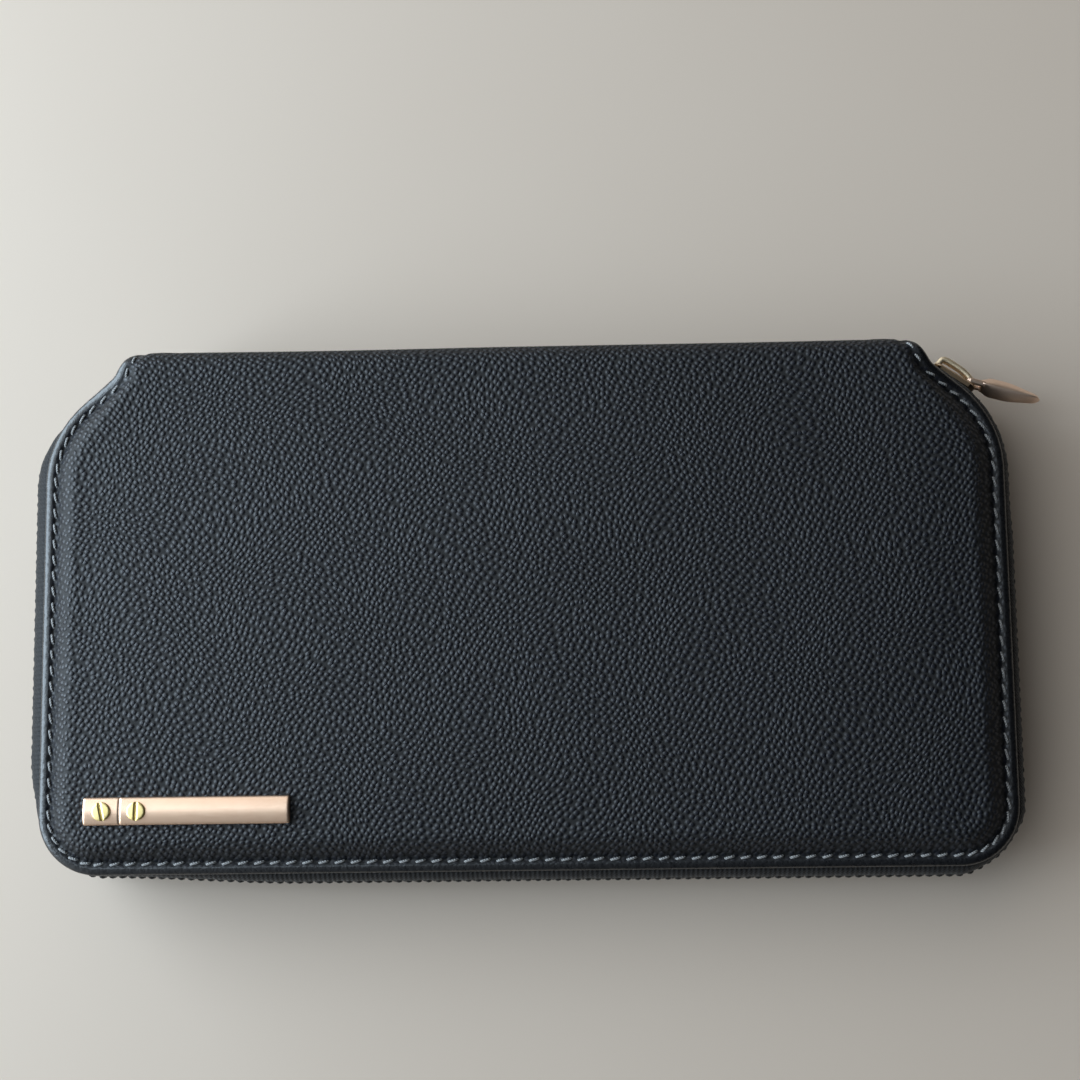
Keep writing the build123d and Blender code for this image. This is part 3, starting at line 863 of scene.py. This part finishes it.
def apply_modifiers(obj):
    """Puts the modified mesh in the object's place."""
    depsgraph = bpy.context.evaluated_depsgraph_get()
    mesh = bpy.data.meshes.new_from_object(obj.evaluated_get(depsgraph))
    obj.modifiers.clear()
    obj.data = mesh


def coin_teeth(level):
    """Small metal teeth of the coin zip in a straight row."""
    low, high = box_mm("coin_teeth_" + level)
    mid_y, half_deep = (low[1] + high[1]) / 2, (high[1] - low[1]) / 2
    shift, facing, base, tip = 0.0, 1, low[2], high[2]
    if level == "upper":
        shift, facing, base, tip = COIN_PITCH / 2, -1, high[2], low[2]
    levels = [(base, 0.35, half_deep * 0.8), (base + facing * 0.2, 0.45, half_deep),
              (tip - facing * 0.2, 0.45, half_deep), (tip, 0.4, half_deep * 0.9),
              (tip + facing * 0.75, 0.28, half_deep * 0.7)]
    parts = []
    for k in range(int((high[0] - low[0] - 1) / COIN_PITCH)):
        x = low[0] + 0.8 + k * COIN_PITCH + shift
        points, faces = tooth(np.array((x, mid_y)), np.array((1.0, 0)), np.array((0, 1.0)), levels)
        parts.append((points, faces, points))
    return join_parts(parts)


def coin_tape(level):
    """Coin zip tape as a thin strip with a corded edge."""
    low, high = box_mm("coin_tape_" + level)
    thick = high[2] - low[2]
    section = [(low[1], 0), (low[1] + 0.15, thick * 0.6), (low[1] + 0.6, thick),
               (low[1] + 1.2, thick * 0.6), (high[1] - 0.3, thick * 0.6), (high[1], 0)]
    count = 40
    points = []
    for x in np.linspace(low[0], high[0], count):
        for y, h in section:
            points.append((x, y, low[2] + h if level == "lower" else high[2] - h))
    points = np.array(points)
    return points, tube_faces(count, len(section)), points * (1, 1, 0)


# ------------ materials

class Nodes:
    """Short way to add linked nodes to a tree."""

    def __init__(self, tree):
        self.tree = tree
        self.coords = None

    def add(self, kind, **inputs):
        node = self.tree.nodes.new(kind)
        for key, value in inputs.items():
            node.inputs[key.replace("_", " ")].default_value = value
        return node

    def link(self, a, b):
        self.tree.links.new(a, b)

    def mapping(self, scale, turn, vector=None):
        node = self.add("ShaderNodeMapping", Scale=scale, Rotation=(0, 0, turn))
        self.link(vector or self.coords, node.inputs["Vector"])
        return node.outputs[0]

    def noise(self, scale, detail=3.0, vector=None):
        node = self.add("ShaderNodeTexNoise", Scale=scale, Detail=detail, Roughness=0.55)
        self.link(vector or self.coords, node.inputs["Vector"])
        return node.outputs["Fac"]

    def wave(self, direction, scale, distortion):
        node = self.add("ShaderNodeTexWave", Scale=scale, Distortion=distortion)
        node.bands_direction = direction
        self.link(self.coords, node.inputs["Vector"])
        return node.outputs["Fac"]

    def math(self, operation, a, b):
        node = self.add("ShaderNodeMath")
        node.operation = operation
        for value, socket in zip((a, b), node.inputs):
            if isinstance(value, (int, float)):
                socket.default_value = value
            else:
                self.link(value, socket)
        return node.outputs[0]

    def remap(self, value, a, b, c=0.0, d=1.0, smooth=False):
        node = self.add("ShaderNodeMapRange", From_Min=a, From_Max=b, To_Min=c, To_Max=d)
        if smooth:
            node.interpolation_type = "SMOOTHSTEP"
        self.link(value, node.inputs["Value"])
        return node.outputs[0]

    def colour(self, factor, first, second):
        node = self.add("ShaderNodeMix")
        node.data_type = "RGBA"
        node.inputs[6].default_value = (*first, 1)
        node.inputs[7].default_value = (*second, 1)
        self.link(factor, node.inputs[0])
        return node.outputs[2]


class Surface(Nodes):
    """Material whose textures follow the stored flat pattern or the object's own millimetres."""

    def __init__(self, name, coords="rest"):
        self.material = bpy.data.materials.new(name)
        self.material.use_nodes = True
        super().__init__(self.material.node_tree)
        self.shader = self.tree.nodes["Principled BSDF"]
        if coords == "rest":
            self.coords = self.stored("rest").outputs["Vector"]
        else:
            scale = self.add("ShaderNodeVectorMath")
            scale.operation = "SCALE"
            scale.inputs["Scale"].default_value = 1 / MM
            self.link(self.add("ShaderNodeTexCoord").outputs["Object"], scale.inputs[0])
            self.coords = scale.outputs[0]

    def stored(self, name):
        node = self.add("ShaderNodeAttribute")
        node.attribute_name = name
        return node

    def bump(self, height, depth_mm):
        node = self.add("ShaderNodeBump", Strength=1.0, Distance=depth_mm * MM)
        self.link(height, node.inputs["Height"])
        self.link(node.outputs[0], self.shader.inputs["Normal"])

    def set(self, **values):
        for key, value in values.items():
            socket = self.shader.inputs[key.replace("_", " ")]
            if isinstance(value, (int, float)):
                socket.default_value = value
            else:
                self.link(value, socket)
        return self.material


def pebbled_leather(name):
    """Pebbled grain: round domes about 1.2 mm apart in wandering rows, pressed flat on the sewn band."""
    n = Surface(name)
    drift = n.add("ShaderNodeTexNoise", Scale=0.045, Detail=1.0)
    n.link(n.coords, drift.inputs["Vector"])
    moved = n.add("ShaderNodeVectorMath")
    moved.operation = "MULTIPLY_ADD"
    moved.inputs[1].default_value = (5.0, 5.0, 0.0)
    n.link(drift.outputs["Color"], moved.inputs[0])
    n.link(n.coords, moved.inputs[2])
    grain = n.mapping((0.84, 0.90, 0.84), math.radians(33), moved.outputs[0])
    cells = n.add("ShaderNodeTexVoronoi", Scale=1.0, Randomness=0.5)
    cells.voronoi_dimensions = "2D"
    n.link(grain, cells.inputs["Vector"])
    dome = n.remap(cells.outputs["Distance"], 0.1, 0.6, 1.0, 0.0, smooth=True)
    fine = n.noise(4.5, 3.0)
    broad = n.noise(0.03, 2.0)
    pressed = n.remap(n.stored("inset").outputs["Fac"], 1.9, 3.2, 0.32, 1.0, smooth=True)
    height = n.math("ADD", n.math("MULTIPLY", dome, pressed), n.math("MULTIPLY", fine, 0.08))
    n.bump(height, 0.2)
    # Colour with painted light and shade: pebble tops lighter and bluer, the hollows between them darker,
    # varied by a broad random tone.
    tops = n.math("MULTIPLY", n.math("POWER", dome, 1.3), n.remap(broad, 0.3, 0.7, 0.8, 1.0))
    base = n.colour(tops, (0.0013, 0.0014, 0.0022), (0.0095, 0.0110, 0.0172))
    rough = n.remap(n.math("MULTIPLY", dome, n.remap(fine, 0.3, 0.7, 0.85, 1.1)), 0, 1, 0.7, 0.38)
    return n.set(Base_Color=base, Roughness=rough, Specular_IOR_Level=0.5)


def turned_edge(name):
    """Smooth stretched leather of the turned edge."""
    n = Surface(name)
    ripple = n.noise(1.0, 2.0)
    n.bump(ripple, 0.11)
    base = n.colour(n.noise(0.5, 3.0), (0.0035, 0.0036, 0.0045), (0.008, 0.0085, 0.0105))
    rough = n.remap(n.noise(2.0, 3.0), 0.3, 0.7, 0.24, 0.36)
    return n.set(Base_Color=base, Roughness=rough, Specular_IOR_Level=0.7)


def lining_leather(name, coords="rest"):
    """Smooth lining leather with fine creases."""
    n = Surface(name, coords)
    cells = n.add("ShaderNodeTexVoronoi", Scale=2.3, Randomness=0.95)
    n.link(n.coords, cells.inputs["Vector"])
    creases = n.remap(cells.outputs["Distance"], 0.1, 0.7, 1.0, 0.0)
    height = n.math("ADD", n.math("MULTIPLY", creases, 0.5), n.noise(1.2, 4.0))
    n.bump(height, 0.05)
    base = n.colour(n.noise(0.12, 3.0), (0.013, 0.013, 0.015), (0.03, 0.029, 0.031))
    rough = n.remap(n.noise(0.9, 4.0), 0.3, 0.7, 0.42, 0.58)
    return n.set(Base_Color=base, Roughness=rough)


def thread(name):
    """Twisted waxed thread."""
    n = Surface(name)
    twist = n.wave("DIAGONAL", 1.25, 0.6)
    n.bump(twist, 0.09)
    # Painted shade: the colour is darker in the twist's grooves and lighter on its ridges.
    base = n.colour(twist, (0.13, 0.131, 0.133), (0.40, 0.397, 0.392))
    return n.set(Base_Color=base, Roughness=0.62, Sheen_Weight=0.25)


def woven_tape(name):
    """Dark zip tape with ribs across it and a slanting weave."""
    n = Surface(name)
    ribs = n.wave("X", 0.33, 0.3)
    weft = n.wave("DIAGONAL", 0.9, 0.5)
    height = n.math("ADD", ribs, n.math("MULTIPLY", weft, 0.6))
    n.bump(height, 0.1)
    # Painted shade: the colour is lighter on the ribs and weave and darker between them.
    painted_rib_shade = n.math("MULTIPLY", height, 0.6)
    base = n.colour(painted_rib_shade, (0.0035, 0.0035, 0.004), (0.012, 0.0122, 0.0135))
    return n.set(Base_Color=base, Roughness=0.6, Sheen_Weight=0.08, Specular_IOR_Level=0.24)


def moulded_teeth(name):
    """Dark moulded teeth with a dull sheen and an uneven tone."""
    n = Surface(name)
    n.bump(n.noise(3.0, 3.0), 0.03)
    base = n.colour(n.noise(0.6, 3.0), (0.005, 0.0046, 0.0042), (0.014, 0.0125, 0.011))
    rough = n.remap(n.noise(2.0, 3.0), 0.3, 0.7, 0.34, 0.5)
    return n.set(Base_Color=base, Roughness=rough, Specular_IOR_Level=0.35)


def gold(name, light, dark, roughness, brushed=False):
    """Plated metal with fine rubbing marks."""
    n = Surface(name, "object")
    marks = n.noise(2.2, 5.0, n.mapping((0.12, 3.0, 3.0), 0.05) if brushed else None)
    n.bump(marks, 0.008)
    base = n.colour(n.noise(0.4, 3.0), dark, light)
    rough = n.remap(marks, 0.3, 0.7, roughness * 0.9, roughness * 1.15)
    return n.set(Base_Color=base, Roughness=rough, Metallic=1.0)


def board_material(name):
    """Bonded leather board."""
    n = Surface(name, "object")
    n.bump(n.noise(2.5, 6.0), 0.08)
    base = n.colour(n.noise(1.1, 6.0), (0.16, 0.11, 0.075), (0.34, 0.25, 0.18))
    return n.set(Base_Color=base, Roughness=0.85)


def floor_material():
    """Pale plain floor."""
    n = Surface("floor_pale", "object")
    base = n.colour(n.noise(0.01, 2.0), (0.60, 0.492, 0.402), (0.625, 0.52, 0.43))
    return n.set(Base_Color=base, Roughness=0.75)


# ------------ build

HIDE = pebbled_leather("black_pebbled_leather")
TURNED = turned_edge("turned_edge_leather")
LINING = lining_leather("black_lining")
LINING_CAD = lining_leather("black_lining_cad", "object")
THREAD = thread("grey_thread")
TAPE = woven_tape("black_tape")
TEETH = moulded_teeth("dark_teeth")
GOLD = gold("light_gold", (1.0, 0.80, 0.50), (0.86, 0.64, 0.34), 0.2)
# Painted shade: the slider body's gold is made much darker than the bridge's, for the shade under the bridge.
SLIDER_GOLD_PAINTED_SHADE = gold("slider_gold_painted_shade", (0.50, 0.37, 0.25), (0.36, 0.26, 0.17), 0.36)
CREAM = gold("cream_gold", (1.0, 0.86, 0.64), (0.97, 0.79, 0.55), 0.45)
ROSE = gold("rose_gold", (0.97, 0.69, 0.50), (0.91, 0.60, 0.42), 0.37, brushed=True)
PULL = gold("pull_gold", (0.96, 0.74, 0.60), (0.82, 0.60, 0.46), 0.4)
YELLOW = gold("yellow_gold", (1.0, 0.83, 0.40), (1.0, 0.75, 0.29), 0.38)
COIN_METAL = gold("coin_zip_gold", (0.86, 0.68, 0.38), (0.6, 0.45, 0.22), 0.3)
BOARD = board_material("leather_board")


def stand_in(obj, slot, *nodes):
    """Hides the CAD nodes that the piece is shown in place of; slot is not used."""
    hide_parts(*nodes)


def attach(obj, body, slot, *nodes):
    """A piece that moves with one body."""
    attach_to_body(obj, body)
    stand_in(obj, slot, *nodes)


def spine_blend(obj, side, slot, *nodes):
    """A piece that lies between a cover and the spine, its placement baked into its mesh."""
    if side == "front":
        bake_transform(obj)
    else:
        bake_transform(obj)
    stand_in(obj, slot, *nodes)


front_hide, back_hide, spine_hide = make_hides([HIDE, TURNED])
spine_blend(front_hide, "front", "grained_leather", "front_leather", "leather_fold_upper")
spine_blend(back_hide, "back", "grained_leather", "back_leather", "leather_fold_lower")
attach(spine_hide, "spine", "grained_leather", "spine_leather")

front_stitches, back_stitches = make_stitches(THREAD)
spine_blend(front_stitches, "front", "thread", "front_stitching")
spine_blend(back_stitches, "back", "thread", "back_stitching")

zip_parts = make_zip(TAPE, TEETH)
for node, obj in zip_parts.items():
    slot = "zip_tape" if "tape" in node else "zip_teeth"
    attach(obj, "back" if node.endswith("lower") else "front", slot, node)

# Main slider, placed by its joints: the centre of its arc and the pull's pin
SLIDER_ANGLE = 55.5                       # degrees round the right-hand shoulder
SLIDER_R = SHOULDER_R + 1.0               # its distance from the arc's centre
PULL_LIFT = 19.0                          # degrees that the pull stands off the zip
joints = {j["name"]: j for j in frame["joints"]}
arc = np.array(joints["zip_slide"]["pos_m"]) / MM
pin = np.array(joints["pull_swing"]["pos_m"]) / MM
turn = math.radians(SLIDER_ANGLE)
slider = arc + SLIDER_R * np.array((math.cos(turn), math.sin(turn), 0))
bridge = make_bridge(local_frame(slider, SLIDER_ANGLE - 90), CREAM)
attach(bridge, "zip_slider", "gold_metal", "zip_slider_bridge")
pull = make_pull(local_frame(pin, SLIDER_ANGLE - 90 + PULL_LIFT), PULL)
attach(pull, "zip_pull", "gold_metal", "zip_pull")

attach(make_plate(ROSE), "front", "plate_metal", "brand_plate")
attach(make_screws(YELLOW), "front", "gold_metal", "plate_screws")


def line_cover(side):
    """Lining and card pockets of one cover."""
    lining = make_lining(side, LINING)
    attach(lining, side, "lining_leather", side + "_lining")
    for tier in range(1, 5):
        node = f"{side}_card_pocket_{tier}"
        low, high = box_mm(node)
        top = high[2] if side == "back" else THICK - low[2]
        shape = panel(low[1], high[1], ring_reach(POCKET_IN), top, high[2] - low[2],
                      bead=0.12, seams=(0.0,), sewn=1.6)
        pocket = make_panel(node + "_strip", shape, side == "front", LINING)
        attach(pocket, side, "lining_leather", node)


def coin_pocket_half(level):
    """One wall of the coin pocket, with its half of the coin zip."""
    node = "coin_wall_" + level
    low, high = box_mm(node)
    outer_z = low[2] if level == "lower" else THICK - high[2]
    shape = panel(low[1], high[1], ring_reach(WALL_IN, high[0]), THICK - outer_z,
                  MID_Z - outer_z - 0.05, crown=0.9, sewn=1.8)
    wall = make_panel(node + "_sheet", shape, level == "lower", LINING)
    attach(wall, "spine", "lining_leather", node)
    strip = closed_piece(f"coin_tape_{level}_strip", coin_tape(level), TAPE)
    attach(strip, "spine", "zip_tape", "coin_tape_" + level)
    row = closed_piece(f"coin_teeth_{level}_row", coin_teeth(level), COIN_METAL)
    attach(row, "spine", "coin_zip_metal", "coin_teeth_" + level)


def gusset_pair(level):
    """Gussets between one cover and the coin pocket."""
    for hand in ("left", "right"):
        node = f"gusset_{level}_{hand}"
        gusset = make_gusset(node, LINING)
        if level == "lower":
            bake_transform(gusset)
        else:
            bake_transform(gusset)
        stand_in(gusset, "lining_leather", node)


for side in ("back", "front"):
    line_cover(side)
for level in ("lower", "upper"):
    coin_pocket_half(level)
    gusset_pair(level)

# CAD nodes that stay, by their material
KEPT = (
    # The slider body's darkened gold is painted shade.
    (SLIDER_GOLD_PAINTED_SHADE, ("zip_slider_body",)),
    (GOLD, ("zip_stops_lower", "zip_stops_upper", "plate_backing")),
    (COIN_METAL, ("coin_slider_body", "coin_slider_bridge", "coin_pull", "coin_stops")),
    (BOARD, ("back_board", "front_board", "spine_board")),
    (LINING_CAD, ("spine_lining",)),
)
for material, nodes in KEPT:
    for node in nodes:
        node_materials = frame["nodes"][node].data.materials
        node_materials.clear()
        node_materials.append(material)


# ------------ stage

FLOOR_HALF, FLOOR_Z = 3.0, -0.0002        # metres; just below the wallet
COOL, WARM, SKY = (0.68, 0.85, 1.0), (1.0, 0.93, 0.82), (0.94, 0.97, 1.0)

# Name, place, target and size in metres, watts, colour
LIGHTS = (
    ("window_left", (-0.44, 0.08, 0.20), (-0.04, 0.01, 0.01), (0.6, 0.3), 3.9, COOL),
    ("left_panel", (-0.32, 0.03, 0.60), (-0.09, 0, 0), (0.16, 0.5), 0.55, COOL),
    ("soft_back", (-0.10, 0.75, 0.75), (0, 0, 0), (1.0, 0.6), 0.8, WARM),
    ("sky_panel", (-0.38, 0.26, 0.70), (-0.08, 0.02, 0), (0.34, 0.4), 0.34, SKY),
)
CAMERA_PLACE = (0.01370, -0.03454, 0.38077)    # metres
CAMERA_TURN = (0.1307, 0.0278, -0.0163)   # radians about X, Y and Z
LENS, SENSOR = 60, 36


def make_floor():
    """Plain flat floor."""
    corners = [(x * FLOOR_HALF, y * FLOOR_HALF, 0) for x, y in ((-1, -1), (1, -1), (1, 1), (-1, 1))]
    mesh = bpy.data.meshes.new("floor")
    mesh.from_pydata(corners, [], [(0, 1, 2, 3)])
    mesh.materials.append(floor_material())
    obj = bpy.data.objects.new("floor", mesh)
    obj.location.z = FLOOR_Z
    bpy.context.scene.collection.objects.link(obj)


def area_light(name, place, target, size, power, colour):
    """Soft rectangular light aimed at a point."""
    data = bpy.data.lights.new(name, "AREA")
    data.shape = "RECTANGLE"
    data.size, data.size_y = size
    data.energy = power
    data.color = colour
    obj = bpy.data.objects.new(name, data)
    obj.location = place
    obj.rotation_euler = (Vector(target) - Vector(place)).to_track_quat("-Z", "Y").to_euler()
    bpy.context.scene.collection.objects.link(obj)


def make_world():
    """Soft surround, brighter towards the left."""
    world = bpy.data.worlds.new("soft_room")
    bpy.context.scene.world = world
    world.use_nodes = True
    n = Nodes(world.node_tree)
    across = n.add("ShaderNodeVectorMath")
    across.operation = "DOT_PRODUCT"
    across.inputs[1].default_value = (-0.9, 0.1, 0)
    n.link(n.add("ShaderNodeTexCoord").outputs["Generated"], across.inputs[0])
    ramp = n.remap(across.outputs["Value"], -0.25, 0.8, 0.0, 1.35)
    background = n.tree.nodes["Background"]
    background.inputs["Color"].default_value = (0.86, 0.94, 1.0, 1)
    n.link(n.math("ADD", n.math("POWER", ramp, 1.7), 0.02), background.inputs["Strength"])


def make_camera():
    """Camera a little off square, nearly above the wallet."""
    data = bpy.data.cameras.new("camera")
    data.sensor_width = SENSOR
    data.lens = LENS
    data.dof.use_dof = False
    camera = bpy.data.objects.new("camera", data)
    placed = Matrix.Translation(CAMERA_PLACE)
    for angle, axis in zip(CAMERA_TURN, "XYZ"):
        placed = placed @ Matrix.Rotation(angle, 4, axis)
    camera.matrix_world = placed
    bpy.context.scene.collection.objects.link(camera)
    bpy.context.scene.camera = camera


make_floor()
make_world()
for light in LIGHTS:
    area_light(*light)
make_camera()
bpy.context.scene.view_settings.view_transform = "Standard"
